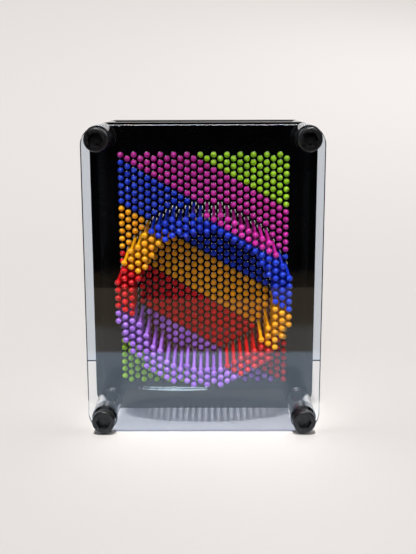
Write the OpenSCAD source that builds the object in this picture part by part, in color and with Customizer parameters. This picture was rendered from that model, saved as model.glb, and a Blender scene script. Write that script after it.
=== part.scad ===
// Pin art impression toy: 806 ball-headed pins slide through two black plates,
// behind a clear cover and in front of an open rear frame.
// Upright on its lower edges: +Z up, the clear cover faces -Y, X runs across.
// The origin is at the middle of the footprint, on the surface it stands on.

/* [Panels] */
// Width of the cover, the two pin plates and the rear frame
panel_w = 95; // [92:1:110]
// Height of the same four panels
panel_h = 125; // [122:1:140]
// Corner radius of the panels
panel_r = 8; // [6:0.5:10]
// Thickness of the cover and of the rear frame
panel_t = 2.5; // [2:0.1:3]
// Thickness of the two pin plates
plate_t = 2; // [1.5:0.1:2]
// Border of the rear frame beside its hand window
frame_side = 11; // [9:0.5:12]
// Border of the rear frame above and below its hand window
frame_end = 11; // [9:0.5:12]
// Corner radius of the hand window
window_r = 6; // [4:0.5:8]

/* [Depth] */
// Length of a clear post, which is the open space on either side of the plates
post_l = 25.5; // [24:0.5:32]
// Thickness of the washers that keep the two pin plates apart
washer_t = 1.5; // [1:0.1:1.5]

/* [Fasteners] */
// Distance from each fastener's axis to the nearest side edge of the panels
bolt_side_inset = 6.5; // [6:0.1:7]
// Distance from each fastener's axis to the nearest upper or lower edge of the panels
bolt_end_inset = 5.5; // [5.5:0.1:7]
// Outer diameter of the clear posts and of the washers
post_d = 10.6; // [9:0.1:10.8]
// Outer diameter of the screw thread
thread_d = 6; // [5:0.5:6]
// Pitch of the screw thread
thread_pitch = 1; // [0.8:0.1:1.25]
// Length of a screw under its head
screw_l = 12; // [10:1:12]
// Diameter of the screw head
screw_head_d = 9.3; // [8.5:0.1:10]
// Height of the screw head
screw_head_h = 4; // [3:0.5:5]
// Width across the flats of the hexagon socket
hex_af = 5.2; // [4:0.1:5.5]
// Depth of the hexagon socket
hex_depth = 2.6; // [2:0.1:2.8]
// How far a stud reaches into the post at each end
stud_grip = 5; // [4:0.5:6]

/* [Pins] */
// Pins across, in upright columns; every second column sits half a pitch lower
columns = 26; // [20:1:26]
// Pins in each column
rows = 31; // [24:1:31]
// Distance between neighbouring pins
pitch = 3.2; // [3:0.05:3.2]
// Height of the middle of the pin field above the middle of the plates
field_rise = 0.7; // [0:0.1:1]
// Diameter of a pin's ball head
head_d = 2.45; // [2.4:0.05:2.6]
// Diameter of a pin's shaft
shaft_d = 1.45; // [1.4:0.05:1.5]
// Radial play between a shaft and its holes
shaft_play = 0.34; // [0.25:0.01:0.34]
// Angle by which the loose pins hang down at their heads
droop = 4.5; // [0:0.1:4.5]
// Gap left between a resting ball head and the rim of its hole
seat_gap = 0.1; // [0.05:0.05:0.2]
// Gap left between a pin and the panel that it comes closest to
end_gap = 1; // [0.5:0.25:2]

/* [Impression] */
// How far the pins of the ring are pushed forward
ring_lift = 21.1; // [0:0.1:22]
// Column number at the centre of the ring
ring_column = 12.52; // [8:0.01:17]
// Row number at the centre of the ring
ring_row = 17.49; // [12:0.01:19]
// Inner radius of the ring, in pitches
ring_inner = 8.61; // [4:0.01:9]
// Outer radius of the ring, in pitches
ring_outer = 11.3; // [9.5:0.01:12]
// Rows of one colour band, counted down a column
band_rows = 6; // [6:1:6]

/* [Hidden] */
// Panel positions along Y, each named for the panel's front face
plate_gap_y = -washer_t / 2;
pin_plate_y = plate_gap_y - plate_t;
cover_y = pin_plate_y - post_l - panel_t;
guide_plate_y = -plate_gap_y;
frame_y = guide_plate_y + plate_t + post_l;
// Middle of the panels in height
middle_z = panel_h / 2;

// Fastener axes, seen from the front
bolt_x = panel_w / 2 - bolt_side_inset;
bolt_high = panel_h - bolt_end_inset;
CORNERS = [
    ["top_left", [-bolt_x, bolt_high]],
    ["top_right", [bolt_x, bolt_high]],
    ["bottom_left", [-bolt_x, bolt_end_inset]],
    ["bottom_right", [bolt_x, bolt_end_inset]]
];
bolt_hole_d = thread_d + 0.4;
tapped_d = thread_d + 0.1;
stud_l = 2 * (plate_t + stud_grip) + washer_t;
thread_depth = 0.3;

// Lattice of pins
column_step = pitch * sqrt(3) / 2;
field_h = (rows - 0.5) * pitch;
field_top = middle_z + field_rise + field_h / 2;
hole_d = shaft_d + 2 * shaft_play;
// Every pin leans by the droop about the middle of its two holes. rest_reach is the distance from
// there to the centre of a resting ball, which lies seat_gap away from the lower rim of its hole.
rim_y = -pin_plate_y;
rim_reach = rim_y * cos(droop) + hole_d / 2 * sin(droop);
rest_reach = rim_reach + sqrt(
    pow(rim_reach, 2) - pow(rim_y, 2) - pow(hole_d / 2, 2) + pow(head_d / 2 + seat_gap, 2)
);
shaft_l = rest_reach + (frame_y - end_gap) / cos(droop);
tail_chamfer = 0.3;
dimple_r = 0.6;
dimple_depth = 0.12;

// Colour bands, from the top right corner to the bottom left one
LIME_TOP = 0;
MAGENTA = 1;
BLUE = 2;
ORANGE = 3;
RED = 4;
PURPLE = 5;
LIME_BOTTOM = 6;
BAND_COLOURS = ["#9acd32", "#c2409a", "#2038c8", "#f0a020", "#c01828", "#9060d0", "#9acd32"];
// Zones of the impression
OUTSIDE = 0;
RING = 1;
INSIDE = 2;
// Halves of the field
ANY_SIDE = 0;
LEFT = 1;
RIGHT = 2;

// Each group is pressed forward as one: name, colour band, zone and side
PIN_GROUPS = [
    ["lime_top_pins", LIME_TOP, OUTSIDE, ANY_SIDE],
    ["magenta_outside_left_pins", MAGENTA, OUTSIDE, LEFT],
    ["magenta_outside_right_pins", MAGENTA, OUTSIDE, RIGHT],
    ["magenta_ring_pins", MAGENTA, RING, ANY_SIDE],
    ["blue_outside_pins", BLUE, OUTSIDE, ANY_SIDE],
    ["blue_ring_left_pins", BLUE, RING, LEFT],
    ["blue_ring_right_pins", BLUE, RING, RIGHT],
    ["blue_inside_pins", BLUE, INSIDE, ANY_SIDE],
    ["orange_outside_left_pins", ORANGE, OUTSIDE, LEFT],
    ["orange_outside_right_pins", ORANGE, OUTSIDE, RIGHT],
    ["orange_ring_left_pins", ORANGE, RING, LEFT],
    ["orange_ring_right_pins", ORANGE, RING, RIGHT],
    ["orange_inside_pins", ORANGE, INSIDE, ANY_SIDE],
    ["red_outside_pins", RED, OUTSIDE, ANY_SIDE],
    ["red_ring_left_pins", RED, RING, LEFT],
    ["red_ring_right_pins", RED, RING, RIGHT],
    ["red_inside_pins", RED, INSIDE, ANY_SIDE],
    ["purple_outside_pins", PURPLE, OUTSIDE, ANY_SIDE],
    ["purple_ring_left_pins", PURPLE, RING, LEFT],
    ["purple_ring_right_pins", PURPLE, RING, RIGHT],
    ["purple_inside_pins", PURPLE, INSIDE, ANY_SIDE],
    ["lime_bottom_pins", LIME_BOTTOM, OUTSIDE, ANY_SIDE]
];

PANELS = ["front_cover", "front_pin_plate", "rear_guide_plate", "rear_frame"];
CORNER_PARTS = ["front_screw_", "front_post_", "plate_washer_", "plate_stud_", "rear_post_", "rear_screw_"];
$fn = 48;

// Place of a pin on the plates, as [x, z]
function pin_x(i) = (i - (columns - 1) / 2) * column_step;
function pin_z(i, j) = field_top - (j + (i % 2) / 2) * pitch;

// Zone, side and colour band of the pin in column i and row j
function ring_distance(i, j) = norm([(i - ring_column) * sqrt(3) / 2, j + (i % 2) / 2 - ring_row]);
function zone_at(r) = r <= ring_inner ? INSIDE : r < ring_outer ? RING : OUTSIDE;
function zone_of(i, j) = zone_at(ring_distance(i, j));
function band_of(i, j) = max(LIME_TOP, min(LIME_BOTTOM, 1 + floor((j - floor(i / 2) + 5) / band_rows)));
function on_side(i, side) = side == ANY_SIDE || (side == LEFT) == (i < columns / 2);
function in_group(i, j, group) =
    band_of(i, j) == group[1] && zone_of(i, j) == group[2] && on_side(i, group[3]);

// Stands a solid made along +Z into the depth: its base at y, pointing back along +Y
module into_depth(x, y, z) {
    translate([x, y, z]) rotate([-90, 0, 0]) children();
}

// Rectangle with true round corners, standing on the lower edge of the panels
module rounded_outline(w, h, r) {
    for (x = [r - w / 2, w / 2 - r], y = [r - h / 2, h / 2 - r]) translate([x, y]) circle(r);
    square([w - 2 * r, h], center = true);
    square([w, h - 2 * r], center = true);
}

// Blank of a panel with its four fastener holes, its front face at y
module panel(y, thickness) {
    difference() {
        into_depth(0, y, middle_z) linear_extrude(thickness) rounded_outline(panel_w, panel_h, panel_r);
        for (corner = CORNERS) {
            into_depth(corner[1].x, y - 1, corner[1].y) cylinder(h = thickness + 2, d = bolt_hole_d);
        }
    }
}

// Panel with the lattice of pin holes
module perforated_panel(y) {
    difference() {
        panel(y, plate_t);
        for (i = [0 : columns - 1], j = [0 : rows - 1]) {
            into_depth(pin_x(i), y - 1, pin_z(i, j)) cylinder(h = plate_t + 2, d = hole_d, $fn = 24);
        }
    }
}

module front_cover() {
    color("#dfe6ea", 0.35) panel(cover_y, panel_t);
}

module front_pin_plate() {
    color("#0a0a0c") perforated_panel(pin_plate_y);
}

module rear_guide_plate() {
    color("#0a0a0c") perforated_panel(guide_plate_y);
}

// Rear guard, open in the middle so that a hand reaches the pins
module rear_frame() {
    window_w = panel_w - 2 * frame_side;
    window_h = panel_h - 2 * frame_end;
    color("#101012") difference() {
        panel(frame_y, panel_t);
        into_depth(0, frame_y - 1, middle_z)
            linear_extrude(panel_t + 2) rounded_outline(window_w, window_h, window_r);
    }
}

// Half profile of a thread drawn as rings, from z = 0 to l
module thread_profile(l) {
    turns = floor(l / thread_pitch);
    crest = thread_d / 2;
    root = crest - thread_depth;
    polygon(concat(
        [[0, 0]],
        [for (n = [0 : turns - 1], side = [0, 1])
            [side == 0 ? root : crest, (n + side / 2) * thread_pitch]],
        [[root, turns * thread_pitch], [root, l], [0, l]]
    ));
}

// Black socket-head screw: its head rises to -Z from z = 0, its thread runs to +Z
module socket_screw() {
    chamfer = 0.5;
    head_r = screw_head_d / 2;
    rotate_extrude() thread_profile(screw_l);
    difference() {
        rotate_extrude() polygon([
            [0, 0],
            [head_r, 0],
            [head_r, chamfer - screw_head_h],
            [head_r - chamfer, -screw_head_h],
            [0, -screw_head_h]
        ]);
        translate([0, 0, -screw_head_h - 1])
            cylinder(h = hex_depth + 1, d = hex_af / cos(30), $fn = 6);
    }
}

// Clear round post, tapped from end to end
module clear_post() {
    difference() {
        cylinder(h = post_l, d = post_d);
        translate([0, 0, -1]) cylinder(h = post_l + 2, d = tapped_d);
    }
}

module front_screw(at) {
    color("#0c0c0e") into_depth(at.x, cover_y, at.y) socket_screw();
}

module front_post(at) {
    color("#dfe6ea", 0.35) into_depth(at.x, cover_y + panel_t, at.y) clear_post();
}

module plate_washer(at) {
    color("#0a0a0c") into_depth(at.x, plate_gap_y, at.y) difference() {
        cylinder(h = washer_t, d = post_d);
        translate([0, 0, -1]) cylinder(h = washer_t + 2, d = bolt_hole_d);
    }
}

// Headless stud through both plates, which joins a front post to a rear one
module plate_stud(at) {
    color("#0c0c0e") into_depth(at.x, pin_plate_y - stud_grip, at.y)
        rotate_extrude() thread_profile(stud_l);
}

module rear_post(at) {
    color("#dfe6ea", 0.35) into_depth(at.x, guide_plate_y + plate_t, at.y) clear_post();
}

module rear_screw(at) {
    color("#0c0c0e") into_depth(at.x, frame_y + panel_t, at.y) mirror([0, 0, 1]) socket_screw();
}

// One pin along +Z, its ball head centred on the origin
module pin() {
    r = shaft_d / 2;
    ball_r = head_d / 2;
    rotate_extrude() difference() {
        union() {
            intersection() {
                circle(ball_r);
                translate([0, -ball_r]) square([ball_r, 2 * ball_r]);
            }
            polygon([[0, 0], [r, 0], [r, shaft_l - tail_chamfer], [r - tail_chamfer, shaft_l], [0, shaft_l]]);
        }
        translate([0, dimple_depth - ball_r - dimple_r]) circle(dimple_r);
    }
}

// All pins of one group, at rest against the plate or pushed forward with the ring
module pin_group(group) {
    reach = group[2] == RING ? rest_reach + ring_lift : rest_reach;
    color(BAND_COLOURS[group[1]])
        for (i = [0 : columns - 1], j = [0 : rows - 1]) {
            if (in_group(i, j, group)) {
                into_depth(pin_x(i), 0, pin_z(i, j)) rotate([droop, 0, 0]) translate([0, 0, -reach]) pin();
            }
        }
}

front_cover();
front_pin_plate();
rear_guide_plate();
rear_frame();
for (corner = CORNERS) {
    front_screw(corner[1]);
    front_post(corner[1]);
    plate_washer(corner[1]);
    plate_stud(corner[1]);
    rear_post(corner[1]);
    rear_screw(corner[1]);
}
for (group = PIN_GROUPS) {
    pin_group(group);
}
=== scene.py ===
"""Pin art impression toy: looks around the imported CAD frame.

Black plates hold 806 coloured pins between a clear cover and an open rear frame.
The pins and pin plates are the CAD nodes themselves. The cover, the frame and the posts get
polished edges here, and the screws and studs get helical threads and rounded heads.
"""

import math

import bmesh
import bpy
from mathutils import Matrix, Vector


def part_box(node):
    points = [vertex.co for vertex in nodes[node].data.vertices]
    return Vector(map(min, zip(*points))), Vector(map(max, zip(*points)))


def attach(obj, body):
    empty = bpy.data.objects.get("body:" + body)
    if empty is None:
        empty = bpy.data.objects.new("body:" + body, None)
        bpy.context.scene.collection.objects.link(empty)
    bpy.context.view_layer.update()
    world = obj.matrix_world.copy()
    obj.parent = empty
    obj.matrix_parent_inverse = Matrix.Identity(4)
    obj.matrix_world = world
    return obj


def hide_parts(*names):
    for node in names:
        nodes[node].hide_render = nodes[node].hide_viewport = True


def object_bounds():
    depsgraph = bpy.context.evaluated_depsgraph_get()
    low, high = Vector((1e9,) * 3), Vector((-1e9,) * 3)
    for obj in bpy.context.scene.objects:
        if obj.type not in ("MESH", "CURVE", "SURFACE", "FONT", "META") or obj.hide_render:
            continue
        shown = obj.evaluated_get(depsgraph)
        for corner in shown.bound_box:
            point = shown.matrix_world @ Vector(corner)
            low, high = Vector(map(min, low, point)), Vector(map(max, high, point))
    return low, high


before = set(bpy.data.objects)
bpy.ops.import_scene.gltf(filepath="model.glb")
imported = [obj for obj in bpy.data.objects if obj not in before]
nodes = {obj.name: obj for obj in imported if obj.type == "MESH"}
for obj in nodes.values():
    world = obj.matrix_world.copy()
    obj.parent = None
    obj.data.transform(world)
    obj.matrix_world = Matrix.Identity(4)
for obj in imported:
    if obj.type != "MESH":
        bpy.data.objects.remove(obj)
cad_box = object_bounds()
scene = bpy.context.scene

MM = 0.001
CORNERS = ["top_left", "top_right", "bottom_left", "bottom_right"]


# ---------------------------------------------------------------- material helpers

def new_material(name):
    """A material with its Principled shader; returns (material, nodes, links, shader)."""
    material = bpy.data.materials.new(name)
    material.use_nodes = True
    tree = material.node_tree
    return material, tree.nodes, tree.links, tree.nodes["Principled BSDF"]


def object_coordinates(n, links):
    """Object coordinates in millimetres, so that noise scales read as features per millimetre."""
    coordinates = n.new("ShaderNodeTexCoord")
    mapping = n.new("ShaderNodeMapping")
    mapping.inputs["Scale"].default_value = (1 / MM, 1 / MM, 1 / MM)
    links.new(coordinates.outputs["Object"], mapping.inputs["Vector"])
    return mapping.outputs["Vector"]


def noise(n, links, vector, scale, detail=3.0, roughness=0.5, stretch=None):
    """Noise texture value; stretch scales the pattern along each axis, for scratches."""
    if stretch:
        mapping = n.new("ShaderNodeMapping")
        mapping.inputs["Scale"].default_value = stretch
        links.new(vector, mapping.inputs["Vector"])
        vector = mapping.outputs["Vector"]
    texture = n.new("ShaderNodeTexNoise")
    texture.inputs["Scale"].default_value = scale
    texture.inputs["Detail"].default_value = detail
    texture.inputs["Roughness"].default_value = roughness
    links.new(vector, texture.inputs["Vector"])
    return texture.outputs["Fac"]


def spread(n, links, value, low, high, start=0.35, end=0.65):
    """Maps a value from start..end to low..high."""
    node = n.new("ShaderNodeMapRange")
    node.inputs["From Min"].default_value = start
    node.inputs["From Max"].default_value = end
    node.inputs["To Min"].default_value = low
    node.inputs["To Max"].default_value = high
    links.new(value, node.inputs["Value"])
    return node.outputs["Result"]


def mix_colour(n, links, factor, first, second):
    """Colour between first and second, by factor."""
    node = n.new("ShaderNodeMix")
    node.data_type = "RGBA"
    node.inputs["A"].default_value = (*first, 1)
    node.inputs["B"].default_value = (*second, 1)
    links.new(factor, node.inputs["Factor"])
    return node.outputs["Result"]


def bump(n, links, shader, height, distance, strength=1.0):
    """Raises the shader's surface by a height texture."""
    node = n.new("ShaderNodeBump")
    node.inputs["Distance"].default_value = distance
    node.inputs["Strength"].default_value = strength
    links.new(height, node.inputs["Height"])
    links.new(node.outputs["Normal"], shader.inputs["Normal"])


# ---------------------------------------------------------------- materials

def clear_acrylic(name, index):
    """Polished clear plastic: a faint cool tint, hairline scratches and a few smears."""
    material, n, links, shader = new_material(name)
    place = object_coordinates(n, links)
    shader.inputs["Base Color"].default_value = (0.95, 0.97, 0.985, 1)
    shader.inputs["Transmission Weight"].default_value = 1.0
    shader.inputs["IOR"].default_value = index
    shader.inputs["Specular Tint"].default_value = (0.72, 0.86, 1.0, 1)
    smears = noise(n, links, place, 0.06, detail=4)
    links.new(spread(n, links, smears, 0.0, 0.025), shader.inputs["Roughness"])
    scratches = noise(n, links, place, 0.5, detail=2, stretch=(9, 1, 0.4))
    bump(n, links, shader, scratches, 0.002 * MM, 0.12)
    return material


def black_acrylic():
    """Polished black sheet: deep black with faint dust, smears and hairline scratches."""
    material, n, links, shader = new_material("black_acrylic")
    place = object_coordinates(n, links)
    dust = noise(n, links, place, 2.6, detail=6, roughness=0.7)
    factor = spread(n, links, dust, 0, 1, 0.64, 0.82)
    colour = mix_colour(n, links, factor, (0.0015, 0.0015, 0.002), (0.012, 0.012, 0.014))
    links.new(colour, shader.inputs["Base Color"])
    smears = noise(n, links, place, 0.05, detail=5, roughness=0.6)
    links.new(spread(n, links, smears, 0.03, 0.10), shader.inputs["Roughness"])
    shader.inputs["IOR"].default_value = 1.5
    scratches = noise(n, links, place, 0.7, detail=3, stretch=(0.5, 1, 8))
    bump(n, links, shader, scratches, 0.01 * MM, 0.08)
    return material


def black_nylon():
    """Moulded black nylon: satin, with a fine grain and worn, lighter high spots."""
    material, n, links, shader = new_material("black_nylon")
    place = object_coordinates(n, links)
    mottle = noise(n, links, place, 0.9, detail=5, roughness=0.6)
    factor = spread(n, links, mottle, 0, 1)
    colour = mix_colour(n, links, factor, (0.003, 0.003, 0.0035), (0.010, 0.010, 0.012))
    links.new(colour, shader.inputs["Base Color"])
    links.new(spread(n, links, mottle, 0.26, 0.40), shader.inputs["Roughness"])
    grain = noise(n, links, place, 6.0, detail=2)
    bump(n, links, shader, grain, 0.02 * MM, 0.4)
    return material


def pin_plastic(name, deep, bright):
    """Glossy moulded plastic: every pin has its own shade, with soft flow marks and a waxy bloom."""
    material, n, links, shader = new_material(name)
    place = object_coordinates(n, links)
    geometry = n.new("ShaderNodeNewGeometry")
    flow = noise(n, links, place, 0.8, detail=2)
    blend = n.new("ShaderNodeMath")
    blend.operation = "MULTIPLY_ADD"
    blend.inputs[1].default_value = 0.6
    links.new(geometry.outputs["Random Per Island"], blend.inputs[0])
    links.new(spread(n, links, flow, 0.0, 0.4), blend.inputs[2])
    colour = mix_colour(n, links, blend.outputs["Value"], deep, bright)
    links.new(colour, shader.inputs["Base Color"])
    bloom = noise(n, links, place, 2.2, detail=3)
    links.new(spread(n, links, bloom, 0.10, 0.18), shader.inputs["Roughness"])
    shader.inputs["IOR"].default_value = 1.5
    bump(n, links, shader, noise(n, links, place, 1.6, detail=1), 0.01 * MM, 0.3)
    return material


PIN_SHADES = {
    "lime": ((0.27, 0.60, 0.006), (0.42, 0.78, 0.02)),
    "magenta": ((0.50, 0.012, 0.28), (0.66, 0.03, 0.42)),
    "blue": ((0.004, 0.022, 0.48), (0.015, 0.06, 0.72)),
    "orange": ((0.78, 0.30, 0.002), (0.95, 0.46, 0.006)),
    "red": ((0.50, 0.003, 0.006), (0.72, 0.010, 0.016)),
    "purple": ((0.28, 0.10, 0.62), (0.42, 0.20, 0.80)),
}


# ---------------------------------------------------------------- dressing the CAD nodes

def dress(node, material):
    """Gives a CAD node its finish."""
    mesh = nodes[node].data
    mesh.materials.clear()
    mesh.materials.append(material)


sheet = clear_acrylic("clear_sheet", 1.66)
tube = clear_acrylic("clear_tube", 1.22)
black = black_acrylic()
nylon = black_nylon()
for node in ("front_pin_plate", "rear_guide_plate"):
    dress(node, black)
for corner in CORNERS:
    dress("plate_washer_" + corner, black)
plastics = {hue: pin_plastic(hue + "_plastic", *shades) for hue, shades in PIN_SHADES.items()}
for node in nodes:
    if node.endswith("_pins"):
        hue = node.split("_")[0]
        dress(node, plastics[hue])


# ---------------------------------------------------------------- sheets and posts with polished edges

segments = 48
corner_steps = 16
panel_r = 8.0 * MM
edge_round = 0.25 * MM
# The screws' crests lie in grooves of the posts, so only this much of the bore is open
bore_r = 2.8 * MM
bolt_hole_r = 3.2 * MM
window_r = 6.0 * MM
window_border = 11.0 * MM
weld_distance = 0.002 * MM
# Edges steeper than this stay crisp in the shading, in degrees
sheet_crisp = 20
nylon_crisp = 32
upright = Matrix.Rotation(math.radians(90), 4, "X")


def finish_piece(piece, node, material, sharp_angle):
    """Shades a new piece, and puts it in place of its CAD node on the case."""
    piece.data.shade_smooth()
    piece.data.set_sharp_from_angle(angle=math.radians(sharp_angle))
    piece.data.materials.clear()
    piece.data.materials.append(material)
    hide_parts(node)
    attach(piece, "case")


def rounded_loop(width, height, radius):
    """Points of an upright rectangle with round corners, about the origin."""
    points = []
    for quarter in range(4):
        turn = math.pi / 2 * quarter
        side_x = 1 if quarter in (0, 3) else -1
        side_z = 1 if quarter in (0, 1) else -1
        for step in range(corner_steps + 1):
            angle = turn + math.pi / 2 * step / corner_steps
            points.append((side_x * (width / 2 - radius) + radius * math.cos(angle),
                           side_z * (height / 2 - radius) + radius * math.sin(angle)))
    return points


def round_loop(x, z, radius):
    """Points of a circle."""
    angles = [2 * math.pi * k / segments for k in range(segments)]
    return [(x + radius * math.cos(angle), z + radius * math.sin(angle)) for angle in angles]


def cut_sheet(name, node, openings, material):
    """A sheet the size of a CAD panel, with openings and softly rounded edges."""
    low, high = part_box(node)
    loops = [rounded_loop(high[0] - low[0], high[2] - low[2], panel_r)] + openings
    outline = bpy.data.curves.new(name, "CURVE")
    outline.dimensions = "2D"
    outline.fill_mode = "BOTH"
    outline.bevel_depth = edge_round
    outline.bevel_resolution = 1
    outline.offset = -edge_round
    outline.extrude = (high[1] - low[1]) / 2 - edge_round
    for loop in loops:
        spline = outline.splines.new("POLY")
        spline.points.add(len(loop) - 1)
        for point, (x, z) in zip(spline.points, loop):
            point.co = (x, z, 0, 1)
        spline.use_cyclic_u = True
    drawn = bpy.data.objects.new(name + "_outline", outline)
    mesh = bpy.data.meshes.new_from_object(drawn)
    bpy.data.objects.remove(drawn)
    joined = bmesh.new()
    joined.from_mesh(mesh)
    bmesh.ops.remove_doubles(joined, verts=joined.verts, dist=weld_distance)
    bmesh.ops.recalc_face_normals(joined, faces=joined.faces)
    joined.to_mesh(mesh)
    joined.free()
    piece = bpy.data.objects.new(name, mesh)
    centre = [(low[axis] + high[axis]) / 2 for axis in range(3)]
    piece.matrix_world = Matrix.Translation(centre) @ upright
    scene.collection.objects.link(piece)
    finish_piece(piece, node, material, sheet_crisp)
    return piece


def post_tube(name, node, material):
    """Round tube the size of a CAD post, with rounded rims."""
    low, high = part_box(node)
    length = high[1] - low[1]
    outer = (high[0] - low[0]) / 2
    # The outer rim is rounded in two steps, through a point this share of edge_round off both faces
    rim_share = 0.3
    sections = [(bore_r, edge_round), (bore_r + edge_round, 0.0), (outer - edge_round, 0.0),
                (outer - edge_round * rim_share, edge_round * rim_share), (outer, edge_round)]
    sections += [(radius, length - rise) for radius, rise in reversed(sections)]
    verts = []
    for radius, rise in sections:
        for k in range(segments):
            angle = 2 * math.pi * k / segments
            verts.append((radius * math.cos(angle), radius * math.sin(angle), rise - length / 2))
    faces = []
    for s in range(len(sections)):
        for k in range(segments):
            beside = (k + 1) % segments
            first, second = s * segments, (s + 1) % len(sections) * segments
            faces.append((first + k, first + beside, second + beside, second + k))
    mesh = bpy.data.meshes.new(name)
    mesh.from_pydata(verts, [], faces)
    checked = bmesh.new()
    checked.from_mesh(mesh)
    bmesh.ops.recalc_face_normals(checked, faces=checked.faces)
    checked.to_mesh(mesh)
    checked.free()
    piece = bpy.data.objects.new(name, mesh)
    centre = [(low[axis] + high[axis]) / 2 for axis in range(3)]
    piece.matrix_world = Matrix.Translation(centre) @ upright
    scene.collection.objects.link(piece)
    finish_piece(piece, node, material, sheet_crisp)
    return piece


panel_low, panel_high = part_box("front_cover")
panel_w = panel_high[0] - panel_low[0]
panel_h = panel_high[2] - panel_low[2]
bolt_holes = []
for corner in CORNERS:
    post_low, post_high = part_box("front_post_" + corner)
    bolt_x = (post_low[0] + post_high[0]) / 2
    bolt_z = (post_low[2] + post_high[2]) / 2 - panel_h / 2
    bolt_holes.append(round_loop(bolt_x, bolt_z, bolt_hole_r))
window = rounded_loop(panel_w - 2 * window_border, panel_h - 2 * window_border, window_r)

clear_pieces = [cut_sheet("clear_cover", "front_cover", bolt_holes, sheet)]
cut_sheet("black_rear_frame", "rear_frame", bolt_holes + [window], black)
for side in ("front", "rear"):
    for corner in CORNERS:
        clear_pieces.append(post_tube(f"{side}_tube_{corner}", f"{side}_post_{corner}", tube))
for piece in clear_pieces:
    # Lamps shine through clear acrylic instead of being stopped by it
    piece.visible_shadow = False


# ---------------------------------------------------------------- screws and studs with helical threads

thread_r = 3.0 * MM
thread_pitch = 1.0 * MM
thread_depth = 0.3 * MM
head_r = 4.65 * MM
head_h = 4.0 * MM
rim_r = 0.6 * MM
hex_half = 2.6 * MM
hex_depth = 2.6 * MM
under_lead = 0.25 * MM
rim_steps = 4
# The plain core lies this far inside the thread's root
core_gap = 0.02 * MM


def hexagon(half, angle):
    """Radius of a hexagon of that half width across flats, at an angle from one of its corners."""
    from_flat = angle % (math.pi / 3) - math.pi / 6
    return half / math.cos(from_flat)


def head_profile():
    """Sections of the screw head, from under it, over the rim and into the socket.

    Each is (kind, size, depth): depth 0 lies under the head and head_h is its face.
    """
    sections = [("round", thread_r - thread_depth, 0.0), ("round", head_r - under_lead, 0.0)]
    sections.append(("round", head_r, under_lead))
    for step in range(rim_steps + 1):
        turn = math.radians(90) * step / rim_steps
        size = head_r - rim_r + rim_r * math.cos(turn)
        sections.append(("round", size, head_h - rim_r + rim_r * math.sin(turn)))
    sections.append(("hex", hex_half, head_h))
    sections.append(("hex", hex_half, head_h - hex_depth))
    return sections


def head_mesh():
    """(vertices, faces) of a screw head along Z, its face towards -Z."""
    verts = []
    sections = head_profile()
    for kind, size, depth in sections:
        for k in range(segments):
            angle = 2 * math.pi * k / segments
            radius = size if kind == "round" else hexagon(size, angle)
            verts.append((radius * math.cos(angle), radius * math.sin(angle), -depth))
    faces = []
    for s in range(len(sections) - 1):
        for k in range(segments):
            here = s * segments + k
            beside = s * segments + (k + 1) % segments
            faces.append((here, here + segments, beside + segments, beside))
    last = (len(sections) - 1) * segments
    faces.append(tuple(last + k for k in range(segments)))
    return verts, faces


def thread_mesh(start, end):
    """(vertices, faces) of a helical V thread along Z from start to end, with its ends closed."""
    root_r = thread_r - thread_depth
    turns = math.floor((end - start) / thread_pitch) - 1
    steps = turns * segments
    verts = []
    for s in range(steps + 1):
        angle = 2 * math.pi * s / segments
        rise = start + thread_pitch * (1 / 4 + s / segments)
        verts.append((root_r * math.cos(angle), root_r * math.sin(angle), rise))
        verts.append((thread_r * math.cos(angle), thread_r * math.sin(angle), rise + thread_pitch / 2))
    faces = []
    for s in range(steps):
        root, crest = 2 * s, 2 * s + 1
        faces.append((root, root + 2, crest + 2, crest))
        if s + segments + 1 <= steps:
            above = 2 * (s + segments)
            faces.append((crest, crest + 2, above + 2, above))
    # A plain core closes the thread at both ends
    core = len(verts)
    core_r = root_r - core_gap
    for rise in (start, end):
        for k in range(segments):
            angle = 2 * math.pi * k / segments
            verts.append((core_r * math.cos(angle), core_r * math.sin(angle), rise))
    for k in range(segments):
        beside = (k + 1) % segments
        faces.append((core + k, core + beside, core + segments + beside, core + segments + k))
    faces.append(tuple(core + segments - 1 - k for k in range(segments)))
    faces.append(tuple(core + segments + k for k in range(segments)))
    return verts, faces


def fastener(name, node, shapes, origin_y, quarter):
    """Piece made of several shapes along Z, turned by a quarter about X, in place of a CAD node."""
    verts = []
    faces = []
    for shape_verts, shape_faces in shapes:
        first = len(verts)
        verts.extend(shape_verts)
        faces.extend(tuple(first + v for v in face) for face in shape_faces)
    mesh = bpy.data.meshes.new(name)
    mesh.from_pydata(verts, [], faces)
    piece = bpy.data.objects.new(name, mesh)
    low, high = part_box(node)
    place = ((low[0] + high[0]) / 2, origin_y, (low[2] + high[2]) / 2)
    piece.matrix_world = Matrix.Translation(place) @ Matrix.Rotation(quarter, 4, "X")
    scene.collection.objects.link(piece)
    finish_piece(piece, node, nylon, nylon_crisp)


screw_l = 12.0 * MM
screw_shapes = [head_mesh(), thread_mesh(0.0, screw_l)]
rearward = math.radians(-90)
forward = math.radians(90)
for corner in CORNERS:
    front_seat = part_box("front_screw_" + corner)[0][1] + head_h
    rear_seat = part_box("rear_screw_" + corner)[1][1] - head_h
    fastener("front_socket_screw_" + corner, "front_screw_" + corner, screw_shapes, front_seat, rearward)
    fastener("rear_socket_screw_" + corner, "rear_screw_" + corner, screw_shapes, rear_seat, forward)
    stud_low, stud_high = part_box("plate_stud_" + corner)
    half = (stud_high[1] - stud_low[1]) / 2
    stud_middle = (stud_low[1] + stud_high[1]) / 2
    fastener("threaded_stud_" + corner, "plate_stud_" + corner, [thread_mesh(-half, half)],
             stud_middle, rearward)


# ---------------------------------------------------------------- stage

def plain_material(name, colour):
    """Matt stage paint without any sheen."""
    material, _, _, shader = new_material(name)
    shader.inputs["Base Color"].default_value = (*colour, 1)
    shader.inputs["Roughness"].default_value = 1.0
    shader.inputs["Specular IOR Level"].default_value = 0.0
    return material


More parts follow.
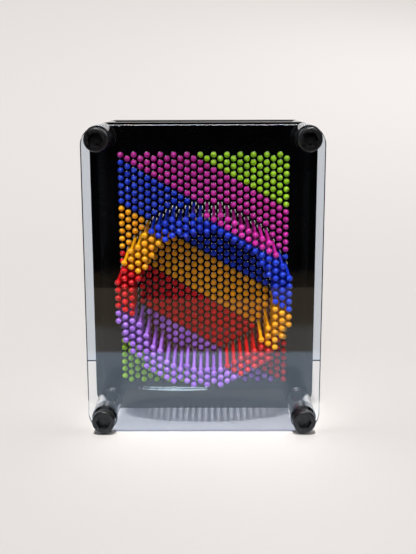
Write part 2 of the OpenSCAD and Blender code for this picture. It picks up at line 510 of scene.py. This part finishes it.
def glowing_material(name, colour, glow_colour, strength):
    """Stage paint that also glows a little by itself, without being sampled as a lamp."""
    material = plain_material(name, colour)
    shader = material.node_tree.nodes["Principled BSDF"]
    shader.inputs["Emission Color"].default_value = (*glow_colour, 1)
    shader.inputs["Emission Strength"].default_value = strength
    material.cycles.emission_sampling = "NONE"
    return material


def stage_piece(name, verts, faces, material):
    """A piece of the stage, which isn't part of the toy."""
    mesh = bpy.data.meshes.new(name)
    mesh.from_pydata(verts, [], faces)
    mesh.shade_smooth()
    mesh.materials.append(material)
    piece = bpy.data.objects.new(name, mesh)
    scene.collection.objects.link(piece)
    return piece


def card(name, corners, material):
    """A flat four-sided stage piece that only reflections and clear parts show."""
    piece = stage_piece(name, corners, [(0, 1, 2, 3)], material)
    piece.visible_camera = False
    piece.visible_diffuse = False
    piece.visible_shadow = False
    return piece


def level_card(name, near, far, half, layer, material):
    """A card lying on the table between two depths; each layer lies a little above the one before."""
    rise = layer * layer_step
    return card(name, [(-half, far, rise), (half, far, rise), (half, near, rise), (-half, near, rise)],
                material)


def upright_card(name, y, half, height, material):
    """A card standing across the table at one depth."""
    return card(name, [(-half, y, 0), (half, y, 0), (half, y, height), (-half, y, height)], material)


layer_step = 0.1 * MM

# Pale sweep: level under the toy, then a gentle ramp behind it, so that no horizon shows
floor_reach = 4.0
ramp_start = 0.35
ramp_steps = 24
ramp_rise = 0.2
sweep_lines = [(-floor_reach, 0.0)]
for step in range(ramp_steps + 1):
    depth = (floor_reach - ramp_start) * step / ramp_steps
    sweep_lines.append((ramp_start + depth, ramp_rise * depth * depth))
sweep_verts = [(side * floor_reach, y, z) for y, z in sweep_lines for side in (-1, 1)]
sweep_faces = [(2 * k, 2 * k + 1, 2 * k + 3, 2 * k + 2) for k in range(len(sweep_lines) - 1)]
pale = plain_material("pale_floor", (0.815, 0.785, 0.77))
sweep = stage_piece("sweep", sweep_verts, sweep_faces, pale)
# The table throws no light back up, so the pins' undersides and the gaps between them stay dark
sweep.visible_diffuse = False

# In front of the table's edge everything is dark, so the polished plates stay deep black
table_edge = -140.4 * MM
rug_end = -297.0 * MM
dark_end = -1.2
card_half = 0.9
dark_height = 1.0
rug = plain_material("warm_dark", (0.24, 0.175, 0.11))
dark = plain_material("dark", (0.002, 0.002, 0.002))
level_card("rug_card", table_edge, rug_end, card_half, 4, rug)
level_card("dark_level_card", rug_end, dark_end, card_half, 4, dark)
upright_card("dark_upright_card", dark_end, card_half, dark_height, dark)

# A deeper brown card in the middle of the rug, seen only in reflection: a painted brown reflection that lies
# over the inside of the pushed ring only
brown = plain_material("deep_brown_reflection", (0.48, 0.08, 0.008))
brown_end = -262.0 * MM
middle_half = 45.0 * MM
brown_rise = 6 * layer_step
brown_far_left = (-40.0 * MM, brown_end, brown_rise)
brown_far_right = (middle_half, brown_end, brown_rise)
brown_near_right = (36.0 * MM, table_edge, brown_rise)
brown_near_left = (-31.0 * MM, table_edge, brown_rise)
brown_patch = card("brown_reflection_card", [brown_far_left, brown_far_right, brown_near_right, brown_near_left], brown)
brown_patch.visible_transmission = False
level_card("dark_middle_card", brown_end, rug_end, middle_half, 6, dark)

# Nearer than that edge the plates mirror a cooler table than the one the camera sees
cool_table = plain_material("cool_table", (0.86, 0.90, 0.98))
case_front = cad_box[0][1] + head_h
clear_of_case = 0.5 * MM
level_card("cool_table_card", case_front - clear_of_case, table_edge, card_half, 3, cool_table)

# A cool grey wall behind the table, with a thin dark line at its foot, seen through the cover's sides. The
# wall glows a little by itself: painted light standing in for the light that falls on it
wall_y = 66.6 * MM
wall_half = 0.3
wall_height = 0.4
line_height = 0.7 * MM
line_gap = 0.2 * MM
cool = glowing_material("cool_wall_painted_light", (0.86, 0.90, 0.98), (0.92, 0.96, 1.0), 0.29)
wall = upright_card("wall_card", wall_y, wall_half, wall_height, cool)
wall.visible_glossy = False
wall_line = upright_card("wall_line_card", wall_y - line_gap, wall_half, line_height, dark)
wall_line.visible_glossy = False

# Under the case the table gets painted shade: a cool dark card, seen only through the clear parts, stands in
# for the shade there. The dark line where the cover stands on it is a painted contact shadow
shade = plain_material("cool_shade", (0.30, 0.31, 0.35))
shaded_floor = level_card("shaded_floor_card", case_front, 0.0, 47.0 * MM, 3, shade)
shaded_floor.visible_glossy = False
# Painted contact shadow: a dark blue strip on the table along the cover's foot
contact_shadow_paint = plain_material("contact_shadow_line", (0.10, 0.12, 0.20))
contact_shadow_end = case_front + 2.0 * MM
contact_shadow_line = level_card("contact_shadow_card", case_front, contact_shadow_end, 37.0 * MM, 4, contact_shadow_paint)
contact_shadow_line.visible_glossy = False

# A small glowing card lying on the table in front of the case, though no lamp, gives a painted reflection: a
# thin bright streak on the cover
painted_reflection_glow = glowing_material("painted_reflection_streak", (1.0, 1.0, 1.0), (0.95, 1.0, 1.0), 8.0)
streak_rise = 6 * layer_step
streak_far_left = (-32.0 * MM, -82.2 * MM, streak_rise)
streak_far_right = (1.0 * MM, -81.6 * MM, streak_rise)
streak_near_right = (1.0 * MM, -80.0 * MM, streak_rise)
streak_near_left = (-16.0 * MM, -79.0 * MM, streak_rise)
card("painted_streak_card", [streak_far_left, streak_far_right, streak_near_right, streak_near_left], painted_reflection_glow)

# A small flag above the toy keeps the key light off the pins inside the pushed ring
flag_rise = 200.0 * MM
flag_left = -30.0 * MM
flag_right = 18.0 * MM
flag_near = -63.5 * MM
flag_far = -45.5 * MM
flag = card("flag_card", [(flag_left, flag_far, flag_rise), (flag_right, flag_far, flag_rise),
                          (flag_right, flag_near, flag_rise), (flag_left, flag_near, flag_rise)], dark)
flag.visible_shadow = True
flag.visible_glossy = False
flag.visible_transmission = False

# A glowing sheet above the camera: only gloss shows it, as a soft dot on every ball
glow_half = 0.35
glow_top = (-0.95, 1.15)
glow_bottom = (-1.25, 0.60)
glow = glowing_material("soft_glow", (0.8, 0.8, 0.8), (1.0, 1.0, 1.0), 9.0)
card("glow_card", [(-glow_half, *glow_top), (glow_half, *glow_top),
                   (glow_half, *glow_bottom), (-glow_half, *glow_bottom)], glow)


# ---------------------------------------------------------------- light

world = bpy.data.worlds.new("soft_room")
world.use_nodes = True
background = world.node_tree.nodes["Background"]
background.inputs["Color"].default_value = (0.90, 0.93, 1.0, 1)
background.inputs["Strength"].default_value = 0.07
scene.world = world

key = bpy.data.lights.new("key", "SUN")
key.energy = 2.75
key.angle = math.radians(3.0)
key.color = (1.0, 0.985, 0.965)
key.cycles.use_multiple_importance_sampling = False
key_holder = bpy.data.objects.new("key", key)
key_from = Vector((-0.03, -0.35, 1.0))
key_holder.rotation_euler = key_from.to_track_quat("Z", "Y").to_euler()
scene.collection.objects.link(key_holder)


def area_light(name, place, size, power):
    """A square lamp of that size, aimed at the middle of the toy."""
    lamp = bpy.data.lights.new(name, "AREA")
    lamp.size = size
    lamp.energy = power
    lamp.cycles.use_multiple_importance_sampling = False
    holder = bpy.data.objects.new(name, lamp)
    holder.location = place
    holder.rotation_euler = (Vector(place) - toy_middle).to_track_quat("Z", "Y").to_euler()
    scene.collection.objects.link(holder)


toy_middle = Vector((0, 0, 60.0 * MM))
area_light("front_fill", (-0.05, -1.1, 0.9), 0.3, 1.2)
area_light("rear_fill", (0.5, 1.2, 0.9), 0.6, 2.0)


# ---------------------------------------------------------------- camera

# About a third of a metre in front of the cover, a little above its top edge, looking down
camera_data = bpy.data.cameras.new("camera")
camera_data.lens = 56.5
camera_data.sensor_width = 36
camera = bpy.data.objects.new("camera", camera_data)
camera.location = (3.05 * MM, -368.65 * MM, 137.52 * MM)
yaw, pitch, roll = (math.radians(a) for a in (0.21, -12.057, 0.133))
turn = Matrix.Rotation(yaw, 3, "Z") @ Matrix.Rotation(pitch, 3, "X") @ Matrix.Rotation(roll, 3, "Y")
look_level = Matrix.Rotation(math.radians(90), 3, "X")
camera.rotation_euler = (turn @ look_level).to_euler()
scene.collection.objects.link(camera)
scene.camera = camera

scene.view_settings.view_transform = "Standard"
